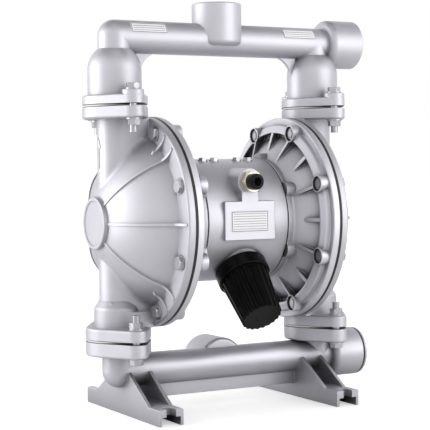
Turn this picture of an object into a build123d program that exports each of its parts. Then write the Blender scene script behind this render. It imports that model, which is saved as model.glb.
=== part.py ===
from build123d import *
from math import atan, cos, degrees, hypot, radians, sqrt
import os

# Air operated double diaphragm pump, in millimetres. X runs along the diaphragm shaft, -Y is the front
# with the air inlet and the silencer, and Z is up. Heights are taken from the shaft axis while the
# pieces are shaped, and each piece is lifted onto its feet when it is written.

# How far a drill or cutter runs past a face, and how deep an added form sinks into its casting
past = 1.0

# Layout
cap_depth = 49.0
column_stand = 47.7
joint_rise = 13.8
joint_gap = 3.8
outlet_rise = 94.5
inlet_drop = 44.2
tube_to_floor = 59.0

# Pipework
tube_radius = 22.5
tube_bore = 17.0
leg_bore = 17.5
port_radius = 34.9
port_thread_radius = 22.4
port_thread_length = 26.0
port_bore = 16.0
port_reach = 50.4
outlet_port_overlap = 9.0
inlet_port_overlap = 5.0
outlet_port_rounding = 8.0
inlet_port_rounding = 5.0
end_boss_stand = 15.5
outlet_end_stand = 67.9
inlet_end_stand = 64.5
outlet_chamber_radius = 36.7
outlet_chamber_bore = 30.5
outlet_chamber_rise = 48.2
web_thickness = 6.0
outlet_web_reach = 26.0
outlet_web_bulge = 6.0
inlet_web_thickness = 11.0
inlet_web_depth = 17.0
plug_flange = 4.0
plug_gasket = 2.2
plug_recess = 2.0
plug_socket_flats = 19.0
plug_socket_depth = 8.0
plug_thread_start = 4.0

# Joint flanges
flange_core_radius = 44.5
flange_lobe_radius = 15.0
joint_bolt_offset = 57.4
outlet_flange_thickness = 12.5
outlet_pad_height = 5.5
cap_joint_thickness = 15.5
inlet_flange_thickness = 19.0
flange_rounding = 3.0
joint_gasket_thickness = 0.8
seat_flange_radius = 43.5

# Feet
foot_inset = 3.0
foot_width = 35.5
foot_half_length = 116.0
foot_height = 21.7
foot_wall = 3.9
foot_roof = 10.0
foot_slot_radius = 7.15
foot_slot_depth = 20.0
foot_plate_thickness = 4.5
foot_plate_run = 84.0
foot_plate_top = 24.0
foot_plate_overlap = 2.5

# Diaphragm clamping flanges
diaphragm_thickness = 3.6
rim_radius = 144.0
cap_flange_thickness = 10.0
air_flange_thickness = 9.7
cap_bolt_count = 8
cap_bolt_inset = 14.6

# Fluid cap
disc_stand = 82.6
disc_radius = 35.5
disc_height = 6.4
disc_rim_radius = 30.5
disc_recess = 1.5
dome_foot_inset = 26.0
dome_top_radius = 37.5
dome_bulge = 10.0
cap_wall = 6.5
column_radius = 25.0
column_bore = 18.0
column_seat_half_width = 30.0
column_seat_start = 20.0
column_blend = 10.0
outlet_bore_start = 50.0
inlet_chamber_radius = 32.5
inlet_chamber_bore = 27.5
inlet_seat_half_width = 35.0
inlet_seat_height = 22.0
inlet_chamber_length = 42.8
inlet_shoulder_length = 53.8
inlet_bore_end = 60.0
rib_thickness = 3.6
rib_height = 4.0
rib_knee = 8.0
rib_flare = 1.6
rib_end_inset = 4.0
rib_end_height = 1.5
long_rib_angles = (0, 45, 135, 180, 225, 315)
short_rib_angles = (56, 124, 236, 304)
short_rib_start = 12.0
spot_radius = 11.2
spot_depth = 0.6

# Check valves
ball_radius = 24.0
ball_lift = 10.0
seat_gap = 0.3
guide_gap = 0.5
guide_thickness = 3.6
guide_count = 4
seat_bore = 15.0
seat_cone_depth = 6.0
seat_skirt_radius = 26.0
seat_skirt_depth = 8.0
fit_gap = 0.1
neck_taper = 14.0
neck_stand = 20.0

# Centre body and air caps
body_radius = 85.5
body_half_length = 61.8
body_gasket_thickness = 1.6
air_cap_floor_stand = 14.2
air_cap_neck_stand = 10.7
dish_floor_inset = 7.5
dish_throat_inset = 27.0
dish_brim_depth = 10.0
dish_foot_rise = 5.0
dish_foot_spread = 6.0
ridge_inner_inset = 22.0
ridge_outer_inset = 14.0
ridge_stand = 21.3
boss_stand = 23.8
boss_radius = 12.0
nut_pocket_radius = 10.3
nut_recess = 2.5
air_rib_thickness = 3.6
short_rib_thickness = 5.0
short_rib_reach = 21.0
neck_boss_count = 6
neck_boss_radius = 12.0
neck_boss_inset = 4.5
neck_screw_inset = 17.5
neck_screw_angle = 30.0

# Front of the body
pad_stand = 3.0
pad_half_width = 39.3
pad_height = 52.8
pad_centre = 0.9
air_port_height = 53.7
air_boss_radius = 18.5
air_neck_half_width = 12.5
air_thread_radius = 9.4
air_thread_depth = 16.0
silencer_angle = 42.3
silencer_stand = 1.0
silencer_boss_radius = 31.0
exhaust_bore = 13.2
exhaust_depth = 40.0
boss_root = 40.0

# Silencer
collar_radius = 36.7
collar_height = 20.0
collar_rounding = 3.0
canister_radius = 33.5
canister_end_radius = 28.0
canister_length = 67.0
canister_wall = 4.5
flute_count = 20
flute_radius = 3.3
flute_stand = 0.7
silencer_nipple_radius = 13.0
silencer_nipple_length = 15.0
silencer_lip = 30.5

# Push-in fitting
fitting_hex = 27.0
fitting_hex_height = 11.0
fitting_sleeve_radius = 11.2
fitting_sleeve_height = 7.5
air_tube_radius = 6.1
release_radius = 8.2
release_gap = 0.06
release_travel = 1.5
release_stand = 2.5

# Shaft, plates and diaphragms
shaft_radius = 11.0
shaft_stroke = 11.0
running_gap = 0.05
plate_radius = 66.0
inner_plate_thickness = 9.0
outer_plate_thickness = 9.0
stud_radius = 8.0
stud_depth = 15.0
plate_hub_radius = 22.0
plate_hub_height = 6.0
convolution_inner_stand = 4.0
convolution_outer_inset = 30.0
convolution_depth = 9.0
bushing_radius = 16.0
bushing_length = 26.0
seal_length = 6.0
shaft_bore = 14.0

# Pilot rod and air valve
pilot_offset_y = 34.0
pilot_radius = 4.0
pilot_travel = 6.0
pilot_rest_gap = 0.3
pilot_waist = 3.0
pilot_groove_half = 6.0
pilot_bushing_radius = 7.5
pilot_bushing_length = 14.0
valve_pad_stand = 3.0
valve_block_half_length = 56.0
valve_block_depth = 44.0
valve_block_half_height = 29.0
valve_gasket_thickness = 1.0
valve_gasket_inset = 1.0
spool_radius = 13.0
spool_waist = 8.0
spool_half_length = 44.0
spool_travel = 8.0
spool_end_gap = 1.0
spool_land_length = 12.0
valve_end_thickness = 8.0
valve_screw_offset_x = 39.0
valve_screw_offset_z = 22.0
end_screw_offset_y = 17.0
end_screw_offset_z = 12.0
air_passage_x = 24.0
air_passage_y = 52.0
air_passage_radius = 5.0
supply_radius = 6.0
supply_y = 58.0
supply_z = 14.0
exhaust_passage_z = -22.0

# Labels on the upper header
label_thickness = 0.3
label_low = 4.5
label_high = 18.5
left_label_ends = (-141.5, -88.0)
right_label_ends = (99.0, 150.5)

# Fasteners: radius of the thread, across flats, height of head or nut
bolt_radius = 5.0
bolt_hole = 5.5
bolt_flats = 16.0
bolt_head_height = 6.4
nut_height = 8.0
washer_radius = 10.2
washer_thickness = 2.0
bolt_end = 9.0
screw_radius = 4.0
screw_head_radius = 6.5
screw_head_height = 8.0
screw_socket_flats = 6.0
screw_hole = 4.4
screw_depth = 18.0
small_screw_radius = 2.5
small_screw_head_radius = 4.2
small_screw_head_height = 4.5
small_screw_socket = 4.0
small_screw_depth = 9.0
plug_spacing = 18.0
plug_row_y = -20.0
plug_flats = 10.0

# Places that follow from the sizes above
rim_plane = body_half_length + cap_depth
column_reach = rim_plane + column_stand
joint_reach = rim_radius + joint_rise
disc_face = rim_plane + disc_stand
cap_bolt_circle = rim_radius - cap_bolt_inset
dome_foot_radius = rim_radius - dome_foot_inset
convolution_inner = plate_radius + convolution_inner_stand
convolution_outer = rim_radius - convolution_outer_inset
dish_throat_radius = rim_radius - dish_throat_inset
ridge_inner = rim_radius - ridge_inner_inset
ridge_outer = rim_radius - ridge_outer_inset
ridge_face = rim_plane - ridge_stand
boss_face = rim_plane - boss_stand
air_cap_floor = body_half_length + air_cap_floor_stand
air_cap_neck = body_half_length + air_cap_neck_stand
dish_floor_radius = body_radius - dish_floor_inset
neck_boss_circle = body_radius - neck_boss_inset
neck_screw_circle = body_radius - neck_screw_inset
pad_face = body_radius + pad_stand
valve_pad_face = body_radius + valve_pad_stand
silencer_seat = body_radius + silencer_stand
end_boss_start = column_reach + end_boss_stand
outlet_end_reach = column_reach + outlet_end_stand
inlet_end_reach = column_reach + inlet_end_stand
outlet_chamber_height = joint_reach + outlet_chamber_rise
inlet_chamber_top = joint_reach - inlet_chamber_length
inlet_chamber_shoulder = joint_reach - inlet_shoulder_length
foot_outer = column_reach - foot_inset
foot_inner = foot_outer - foot_width
half_turn = 180.0 / cap_bolt_count
shaft_height = joint_reach + inlet_drop + tube_to_floor
outlet_axis = joint_reach + outlet_rise
inlet_axis = -joint_reach - inlet_drop
floor = -shaft_height
plate_back = rim_plane - diaphragm_thickness / 2 - inner_plate_thickness
pilot_half_length = plate_back - shaft_stroke + pilot_travel - pilot_rest_gap
rim_air_side = rim_plane - diaphragm_thickness / 2
rim_fluid_side = rim_plane + diaphragm_thickness / 2
dish_brim = rim_air_side - dish_brim_depth
dish_foot = air_cap_neck + dish_foot_rise
dish_foot_radius = body_radius + dish_foot_spread
cap_face = rim_fluid_side + cap_flange_thickness
air_flange_face = rim_air_side - air_flange_thickness
air_cap_start = body_half_length + body_gasket_thickness
dome_top = disc_face - disc_height
seat_thickness = joint_gap - 2 * joint_gasket_thickness
seat_top = seat_thickness / 2
cone_start = seat_top - seat_cone_depth
ball_rest = cone_start - seat_bore + (ball_radius + seat_gap) * sqrt(2)
inlet_joint = -joint_reach
outlet_joint = joint_reach
valve_start = valve_pad_face + valve_gasket_thickness
valve_end = valve_start + valve_block_depth
valve_middle = (valve_start + valve_end) / 2
canister_top = -silencer_seat - 4.0
canister_shoulder = -silencer_seat - collar_height
canister_bottom = canister_shoulder - canister_length
sides = {"left": -1, "right": 1}


# Basic shapes
def bar_x(radius, start, end, y=0.0, z=0.0):
    return Pos((start + end) / 2, y, z) * Rot(0, 90, 0) * Cylinder(radius, end - start)


def bar_y(radius, start, end, x=0.0, z=0.0):
    return Pos(x, (start + end) / 2, z) * Rot(90, 0, 0) * Cylinder(radius, end - start)


def bar_z(radius, start, end, x=0.0, y=0.0):
    return Pos(x, y, (start + end) / 2) * Cylinder(radius, end - start)


def block(x_range, y_range, z_range):
    middle = [(low + high) / 2 for low, high in (x_range, y_range, z_range)]
    size = [high - low for low, high in (x_range, y_range, z_range)]
    return Pos(*middle) * Box(*size)


def turned(*corners):
    """Solid turned about X from its outline of (x, radius, rounding) corners."""
    points = [(along, radius) for along, radius, _ in corners]
    line = FilletPolyline(*points, radius=[rounding for _, _, rounding in corners], close=True)
    return revolve(make_face(line), Axis.X)


def turned_upright(*corners):
    """Solid turned about Z from its outline of (radius, z, rounding) corners."""
    points = [(radius, height) for radius, height, _ in corners]
    line = FilletPolyline(*points, radius=[rounding for _, _, rounding in corners], close=True)
    return revolve(Plane.XZ * make_face(line), Axis.Z)


def around_x(piece, count, first_angle=0.0):
    """Copies of a piece set evenly round the X axis."""
    return [Rot(first_angle + 360.0 * i / count, 0, 0) * piece for i in range(count)]


def joined(first, others):
    for other in others:
        first = first + other
    return first


def cut(first, others):
    for other in others:
        first = first - other
    return first


def hexagon(flats, start, end):
    """Upright hexagonal prism with both ends turned to a slight cone, as on a bolt head."""
    prism = Pos(0, 0, start) * extrude(RegularPolygon(flats / 2, 6, major_radius=False), end - start)
    corner = flats / 2 / cos(radians(30))
    drop = (corner - flats / 2) * 0.6
    rounder = turned_upright(
        (0, start, 0), (corner, start, 0), (corner, end - drop, 0), (flats / 2, end, 0), (0, end, 0))
    return prism & rounder


def bulged(start, end, bulge):
    """Arc from start to end whose middle stands off the chord, away from the axis."""
    chord_x = end[0] - start[0]
    chord_y = end[1] - start[1]
    length = hypot(chord_x, chord_y)
    middle = ((start[0] + end[0]) / 2 - chord_y / length * bulge,
              (start[1] + end[1]) / 2 + chord_x / length * bulge)
    return ThreePointArc(start, middle, end)


# Joint flanges between the manifolds and the fluid caps
def flange_plate(bottom, top):
    """Flange with a round middle and two bolt lobes, front and back."""
    core = Circle(flange_core_radius)
    front = Pos(0, -joint_bolt_offset) * Circle(flange_lobe_radius)
    back = Pos(0, joint_bolt_offset) * Circle(flange_lobe_radius)
    outline = make_hull(core.edges() + front.edges() + back.edges())
    return Pos(0, 0, bottom) * extrude(outline, top - bottom)


def rounded_flange(bottom, top, rounded_end):
    """Flange plate whose outer face has rounded edges and whose joint face is machined square."""
    plate = flange_plate(bottom, top)
    group = plate.edges().group_by(Axis.Z)[-1 if rounded_end == "top" else 0]
    return fillet(group, flange_rounding)


def joint_bolt_places():
    return [(side * column_reach, back * joint_bolt_offset) for side in (-1, 1) for back in (-1, 1)]


# Check valve chambers
def ball_guides(joint, bore, neck):
    """Ribs that guide the ball up the chamber and stop it at the top of its lift."""
    lifted = joint + ball_rest + ball_lift
    reach = bore + past
    blank = block((ball_radius * 0.7, reach), (-guide_thickness / 2, guide_thickness / 2),
                  (joint + seat_top + 5.0, neck))
    blanks = [Rot(0, 0, 45 + 360.0 * i / guide_count) * blank for i in range(guide_count)]
    room = bar_z(ball_radius + guide_gap, joint, lifted) + Pos(0, 0, lifted) * Sphere(ball_radius + guide_gap)
    return [one - room for one in blanks]


# Fluid caps
def dome_height(along):
    """Radius of the dome's outside at a place along X, on its arc."""
    chord_x = dome_top - cap_face
    chord_r = dome_foot_radius - dome_top_radius
    length = hypot(chord_x, chord_r)
    arc_radius = (length / 2) ** 2 / (2 * dome_bulge) + dome_bulge / 2
    middle_x = (cap_face + dome_top) / 2 - (arc_radius - dome_bulge) * chord_r / length
    middle_r = (dome_foot_radius + dome_top_radius) / 2 - (arc_radius - dome_bulge) * chord_x / length
    return middle_r + sqrt(arc_radius ** 2 - (along - middle_x) ** 2)


def dome_body(shrink):
    """Domed cover, full size with no shrink, or its hollow with the wall taken off."""
    foot = (cap_face - shrink, dome_foot_radius - shrink * 0.6)
    top = (dome_top - shrink, dome_top_radius - shrink * 0.6)
    arc = bulged(foot, top, dome_bulge)
    rest = Polyline(top, (top[0], 0), (rim_fluid_side, 0), (rim_fluid_side, foot[1]), foot)
    return revolve(make_face(arc + rest), Axis.X)


def cap_rib(first):
    """Radial rib over the dome, which turns up along the flange and ends near its edge."""
    knee_x = cap_face + rib_knee
    knee = (knee_x, dome_height(knee_x) + rib_height)
    start = (first, max(dome_height(min(first, dome_top)) - past, disc_radius - past))
    end = (cap_face + rib_end_height, rim_radius - rib_end_inset)
    middle = (first + knee_x) / 2
    crest = ThreePointArc(knee, (middle, dome_height(middle) + rib_height), start)
    flare = ThreePointArc(end, ((end[0] + knee[0]) / 2 - rib_flare, (end[1] + knee[1]) / 2 - rib_flare), knee)
    foot = (cap_face - past, rim_radius - rib_end_inset)
    rest = Polyline(start, (first, 30.0), (foot[0], 30.0), foot, end)
    plate = extrude(make_face(flare + crest + rest), rib_thickness / 2, both=True)
    return plate - dome_body(cap_wall / 2)


def column_section(radius, seat_half_width):
    """Section of a column: round outside, with flat sides that widen to the clamping flange."""
    seat_x = cap_face - past - column_reach
    reach_squared = seat_x ** 2 + seat_half_width ** 2
    along = radius ** 2 / reach_squared
    across = radius * sqrt(reach_squared - radius ** 2) / reach_squared
    touch_x = along * seat_x + across * seat_half_width
    touch_y = along * seat_half_width - across * seat_x
    arc = ThreePointArc((touch_x, touch_y), (radius, 0), (touch_x, -touch_y))
    rest = Polyline((touch_x, -touch_y), (seat_x, -seat_half_width), (seat_x, seat_half_width),
                    (touch_x, touch_y))
    return make_face(arc + rest)


def fluid_cap():
    """Right-hand fluid cap: dome, ribs, two valve columns and their joint flanges in one casting."""
    inlet_face = inlet_joint + joint_gap / 2
    outlet_face = outlet_joint - joint_gap / 2
    column_top = outlet_face - cap_joint_thickness + past
    column = extrude(column_section(column_radius, column_seat_half_width), column_top - column_seat_start)
    column = Pos(column_reach, 0, column_seat_start) * column
    columned = dome_body(0.0) + column + mirror(column, Plane.XY)
    meeting = [edge for edge in columned.edges().filter_by(GeomType.BSPLINE)
               if abs(edge.center().Z) > column_seat_start and cap_face < edge.center().X < dome_top]
    columned = fillet(meeting, column_blend)
    flange = turned((rim_fluid_side, 0, 0), (rim_fluid_side, rim_radius, 0.8),
                    (cap_face, rim_radius, 2.5), (cap_face, 0, 0))
    shell = columned + flange
    shell += turned((dome_top - cap_wall, 0, 0), (dome_top - cap_wall, disc_radius, 0),
                    (disc_face, disc_radius, 1.5), (disc_face, disc_rim_radius, 0.6),
                    (disc_face - disc_recess, disc_rim_radius - 0.4, 0), (disc_face - disc_recess, 0, 0))
    for angle in long_rib_angles:
        shell += Rot(angle, 0, 0) * cap_rib(dome_top + 1.5)
    for angle in short_rib_angles:
        shell += Rot(angle, 0, 0) * cap_rib(cap_face + short_rib_start)

    chamber = turned_upright(
        (0, inlet_face, 0), (inlet_chamber_radius, inlet_face, 0),
        (inlet_chamber_radius, -inlet_chamber_top, 6.0), (column_radius, -inlet_chamber_shoulder, 3.0),
        (column_radius - 5.0, -inlet_chamber_shoulder, 0), (0, -inlet_chamber_shoulder, 0))
    seat_bottom = inlet_face + cap_joint_thickness - past
    chamber_seat = extrude(column_section(inlet_chamber_radius, inlet_seat_half_width), inlet_seat_height)
    upper = rounded_flange(outlet_face - cap_joint_thickness, outlet_face, "bottom")
    lower = rounded_flange(inlet_face, inlet_face + cap_joint_thickness, "top")
    outside = chamber + Pos(0, 0, seat_bottom) * chamber_seat + upper + lower
    shell += Pos(column_reach, 0, 0) * outside

    hollow = dome_body(cap_wall)
    hollow += turned((rim_fluid_side - past, 0, 0), (rim_fluid_side - past, convolution_outer, 0),
                     (rim_fluid_side + 3.0, convolution_outer, 0), (rim_fluid_side + 3.0, 0, 0))
    neck = -inlet_chamber_shoulder - 2.0
    inner_chamber = turned_upright(
        (0, inlet_face - past, 0), (inlet_chamber_bore, inlet_face - past, 0),
        (inlet_chamber_bore, neck - 9.0, 4.0), (column_bore, neck, 3.0), (column_bore, -inlet_bore_end, 0),
        (0, -inlet_bore_end, 0))
    outlet_bore = bar_z(column_bore, outlet_bore_start, outlet_face + past)
    seat_pocket = bar_z(seat_skirt_radius + fit_gap, outlet_face - seat_skirt_depth, outlet_face + past)
    passage = inner_chamber + outlet_bore + seat_pocket
    shell = shell - hollow - Pos(column_reach, 0, 0) * passage
    guides = ball_guides(inlet_joint, inlet_chamber_bore, neck)
    shell = joined(shell, [Pos(column_reach, 0, 0) * guide for guide in guides])

    holes = around_x(bar_x(bolt_hole, rim_fluid_side - past, cap_face + past, y=cap_bolt_circle),
                     cap_bolt_count, half_turn)
    spots = around_x(bar_x(spot_radius, cap_face - spot_depth, cap_face + 14.0, y=cap_bolt_circle),
                     cap_bolt_count, half_turn)
    shell = cut(shell, holes + spots)
    drills = ((inlet_face - past, inlet_face + cap_joint_thickness + past),
              (outlet_face - cap_joint_thickness - past, outlet_face + past))
    for low, high in drills:
        for back in (-1, 1):
            shell -= bar_z(bolt_hole, low, high, x=column_reach, y=back * joint_bolt_offset)
    return shell


# Air caps
def air_cap():
    """Right-hand air cap: the ribbed dish between the centre body and the diaphragm."""
    back = turned(
        (air_cap_start, 0, 0), (air_cap_start, body_radius, 0.8), (air_cap_neck, body_radius, 3.0),
        (dish_foot, dish_foot_radius, 4.0), (dish_brim, dish_throat_radius, 3.0),
        (dish_brim, ridge_inner, 0), (ridge_face, ridge_inner, 1.0),
        (ridge_face, ridge_inner + 3.0, 1.5),
        (ridge_face + 4.5, ridge_outer + 3.0, 3.0), (air_flange_face, ridge_outer + 5.0, 1.5),
        (air_flange_face, rim_radius, 2.0),
        (rim_air_side, rim_radius, 0.8), (rim_air_side, 0, 0))
    long_rib = extrude(make_face(Polyline(
        (air_cap_neck + past, body_radius + past), (boss_face + 2.0, cap_bolt_circle - 8.0),
        (rim_air_side - 7.0, cap_bolt_circle - 8.0), (air_cap_neck + 4.0, body_radius - 2.0), close=True)),
        air_rib_thickness / 2, both=True)
    dish_slope = (dish_brim - dish_foot) / (dish_throat_radius - dish_foot_radius)
    short_rib_x = dish_brim - short_rib_reach * dish_slope
    short_rib_inner = dish_throat_radius - short_rib_reach
    short_rib = extrude(make_face(Polyline(
        (short_rib_x, short_rib_inner), (ridge_face + 0.5, ridge_inner + past),
        (rim_air_side - 7.0, ridge_inner + past), (short_rib_x + 3.0, short_rib_inner), close=True)),
        short_rib_thickness / 2, both=True)
    boss = bar_x(boss_radius, boss_face, rim_air_side - 2.0, y=cap_bolt_circle)
    boss = fillet(boss.edges().group_by(Axis.X)[0], 1.2)
    neck_boss = bar_x(neck_boss_radius, air_cap_start, air_cap_neck + 12.0, y=neck_boss_circle)
    solid = joined(back, around_x(boss, cap_bolt_count, half_turn))
    solid = joined(solid, around_x(long_rib, cap_bolt_count, half_turn))
    solid = joined(solid, around_x(short_rib, cap_bolt_count, 0.0))
    solid = joined(solid, around_x(neck_boss, neck_boss_count, neck_screw_angle))

    hollow = turned(
        (air_cap_floor, 0, 0), (air_cap_floor, dish_floor_radius, 6.0),
        (rim_air_side - 8.0, dish_throat_radius - 2.5, 3.0),
        (rim_air_side + past, dish_throat_radius - 2.5, 0),
        (rim_air_side + past, 0, 0))
    solid = solid - hollow
    solid -= bar_x(shaft_radius + 2.0, air_cap_start - past, air_cap_floor + past)
    solid -= bar_x(pilot_radius + 1.5, air_cap_start - past, air_cap_floor + past, y=pilot_offset_y)
    solid -= bar_x(air_passage_radius, air_cap_start - past, air_cap_floor + past, y=air_passage_y)
    pocket = bar_x(nut_pocket_radius, boss_face - past, boss_face + nut_recess + nut_height,
                   y=cap_bolt_circle)
    hole = bar_x(bolt_hole, boss_face, rim_air_side + past, y=cap_bolt_circle)
    solid = cut(solid, around_x(pocket, cap_bolt_count, half_turn))
    solid = cut(solid, around_x(hole, cap_bolt_count, half_turn))
    sink = bar_x(screw_head_radius + 0.4, air_cap_floor - screw_head_height, air_cap_floor + 12.0,
                 y=neck_screw_circle)
    hole = bar_x(screw_hole, air_cap_start - past, air_cap_floor, y=neck_screw_circle)
    return cut(solid, around_x(sink + hole, neck_boss_count, neck_screw_angle))


# Centre body with the air distribution passages
def tilted(piece):
    """Swings a piece built along -Z from the shaft axis to the slanted exhaust at the lower front."""
    return Rot(-silencer_angle, 0, 0) * piece


def center_body():
    body = bar_x(body_radius, -body_half_length, body_half_length)
    ends = [edge for edge in body.edges().filter_by(GeomType.CIRCLE)]
    body = fillet(ends, 0.6)
    pad = block((-pad_half_width, pad_half_width), (-pad_face, -boss_root),
                (pad_centre - pad_height / 2, pad_centre + pad_height / 2))
    pad = fillet(pad.edges().filter_by(Axis.Y), 2.0)
    pad = fillet(pad.faces().sort_by(Axis.Y)[0].edges(), 1.0)
    boss = bar_y(air_boss_radius, -pad_face, -30.0, z=air_port_height)
    boss = fillet(boss.edges().group_by(Axis.Y)[0], 1.2)
    neck = block((-air_neck_half_width, air_neck_half_width), (-pad_face, -30.0),
                 (pad_centre + pad_height / 2 - 4.0, air_port_height))
    exhaust_boss = tilted(bar_z(silencer_boss_radius, -silencer_seat, -boss_root))
    rear_pad = block((-valve_block_half_length, valve_block_half_length), (30.0, valve_pad_face),
                     (-valve_block_half_height, valve_block_half_height))
    rear_pad = fillet(rear_pad.edges().filter_by(Axis.Y), 4.0)
    body = body + pad + boss + neck + exhaust_boss + rear_pad

    body -= bar_x(shaft_bore, -body_half_length - past, body_half_length + past)
    for side in (-1, 1):
        face = side * (body_half_length + past)
        inner = side * (body_half_length - bushing_length - seal_length)
        body -= bar_x(bushing_radius, min(face, inner), max(face, inner))
        inner = side * (body_half_length - pilot_bushing_length)
        body -= bar_x(pilot_bushing_radius, min(face, inner), max(face, inner), y=pilot_offset_y)
        low, high = sorted((side * air_passage_x, face))
        body -= bar_x(air_passage_radius, low, high, y=air_passage_y)
        body -= bar_y(air_passage_radius, air_passage_y, valve_pad_face + past, x=side * air_passage_x)
        for height in (-1, 1):
            body -= bar_y(screw_radius - 0.6, valve_pad_face - screw_depth, valve_pad_face + past,
                          x=side * valve_screw_offset_x, z=height * valve_screw_offset_z)
        screw_floor = side * (body_half_length - screw_depth)
        drill = bar_x(screw_radius - 0.6, min(face, screw_floor), max(face, screw_floor), y=neck_screw_circle)
        body = cut(body, around_x(drill, neck_boss_count, neck_screw_angle))
    body -= bar_x(pilot_radius + 1.5, -body_half_length, body_half_length, y=pilot_offset_y)
    body -= bar_y(air_thread_radius, -pad_face - past, -pad_face + air_thread_depth, z=air_port_height)
    body -= bar_y(supply_radius, -pad_face, supply_y, z=air_port_height)
    body -= bar_z(supply_radius, supply_z, air_port_height, y=supply_y)
    body -= bar_y(supply_radius, supply_y, valve_pad_face + past, z=supply_z)
    body -= bar_y(air_passage_radius, -exhaust_depth + 10.0, valve_pad_face + past, z=exhaust_passage_z)
    body -= tilted(bar_z(exhaust_bore, -silencer_seat - past, -exhaust_depth))
    for place in plug_places():
        body -= Pos(*place) * bar_z(screw_radius, -14.0, 8.0)
        body -= Pos(*place) * bar_z(7.0, 0.0, 12.0)
    return body


def plug_places():
    """Row of passage plugs along the top of the body, a little to the front of its crest."""
    height = sqrt(body_radius ** 2 - (abs(plug_row_y) + 7.0) ** 2) - 0.4
    return [(x * plug_spacing, plug_row_y, height) for x in (-2, -1, 1, 2)]


def passage_plugs():
    shape = hexagon(plug_flats, 1.5, 6.5) + bar_z(6.5, 0.0, 1.5) + bar_z(screw_radius - 0.1, -10.0, 0.0)
    return [Pos(*place) * shape for place in plug_places()]


# Manifolds
def port(overlap, rounding):
    """Threaded port boss along +Z from the tube axis, with a rounded lower edge."""
    return turned_upright(
        (0, -overlap, 0), (port_radius, -overlap, rounding), (port_radius, port_reach, 2.0),
        (0, port_reach, 0))


def port_hollow(reach):
    chamfer_run = 1.5
    return turned_upright(
        (0, 0, 0), (port_bore, 0, 0), (port_bore, reach - port_thread_length, 0),
        (port_thread_radius, reach - port_thread_length, 0), (port_thread_radius, reach - chamfer_run, 0),
        (port_thread_radius + chamfer_run + 1.0, reach + 1.0, 0), (0, reach + 1.0, 0))


def end_boss(reach):
    return turned(
        (end_boss_start, 0, 0), (end_boss_start, port_radius, 9.0), (reach, port_radius, 2.0), (reach, 0, 0))


def end_hollow(reach):
    return bar_x(tube_bore, 0.0, reach) + bar_x(port_thread_radius, reach - port_thread_length, reach + past)


def outlet_manifold():
    """Upper casting: flanged ball chambers, legs and the header with its upright port."""
    face = outlet_joint + joint_gap / 2
    tube = bar_x(tube_radius, -column_reach, end_boss_start + 10.0, z=outlet_axis)
    solid = tube + Pos(-column_reach, 0, outlet_axis) * Sphere(tube_radius)
    solid += Pos(0, 0, outlet_axis) * port(outlet_port_overlap, outlet_port_rounding)
    solid += Pos(0, 0, outlet_axis) * end_boss(outlet_end_reach)
    web_arc = bulged((-outlet_chamber_radius - outlet_web_reach, outlet_axis - tube_radius + 1.5),
                     (-outlet_chamber_radius, outlet_chamber_height - 2.0), outlet_web_bulge)
    outline = Polyline((-outlet_chamber_radius, outlet_chamber_height - 2.0),
                       (-outlet_chamber_radius + 6.0, outlet_chamber_height - 2.0),
                       (-outlet_chamber_radius + 6.0, outlet_axis),
                       (-outlet_chamber_radius - outlet_web_reach, outlet_axis),
                       (-outlet_chamber_radius - outlet_web_reach, outlet_axis - tube_radius + 1.5))
    web = extrude(Plane.XZ * make_face(outline + web_arc), web_thickness / 2, both=True)
    for side in (-1, 1):
        leg = bar_z(tube_radius, face, outlet_axis)
        leg += bar_z(outlet_chamber_radius, face, outlet_chamber_height)
        leg += Pos(0, 0, outlet_chamber_height) * Sphere(outlet_chamber_radius)
        leg += rounded_flange(face, face + outlet_flange_thickness, "top")
        for back in (-1, 1):
            pad = bar_z(flange_lobe_radius - 0.3, face, face + outlet_flange_thickness + outlet_pad_height,
                        y=back * joint_bolt_offset)
            leg += fillet(pad.edges().group_by(Axis.Z)[-1], 1.5)
        solid += Pos(side * column_reach, 0, 0) * leg
        solid += Pos(side * column_reach, 0, 0) * (web if side > 0 else mirror(web, Plane.YZ))

    lifted_neck = outlet_joint + ball_rest + ball_lift + neck_stand
    chamber = turned_upright(
        (0, face - past, 0), (outlet_chamber_bore, face - past, 0),
        (outlet_chamber_bore, lifted_neck - 4.0, 8.0),
        (leg_bore, lifted_neck - 4.0 + neck_taper, 3.0), (leg_bore, outlet_axis, 0), (0, outlet_axis, 0))
    for side in (-1, 1):
        solid -= Pos(side * column_reach, 0, 0) * chamber
        guides = ball_guides(outlet_joint, outlet_chamber_bore, lifted_neck + 4.0)
        solid = joined(solid, [Pos(side * column_reach, 0, 0) * guide for guide in guides])
        for back in (-1, 1):
            solid -= bar_z(bolt_hole, face - past, face + outlet_flange_thickness + outlet_pad_height + past,
                           x=side * column_reach, y=back * joint_bolt_offset)
    solid -= bar_x(tube_bore, -column_reach, column_reach, z=outlet_axis)
    solid -= Pos(-column_reach, 0, outlet_axis) * Sphere(leg_bore)
    solid -= Pos(0, 0, outlet_axis) * end_hollow(outlet_end_reach)
    solid -= Pos(0, 0, outlet_axis) * port_hollow(port_reach)
    return solid


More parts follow.
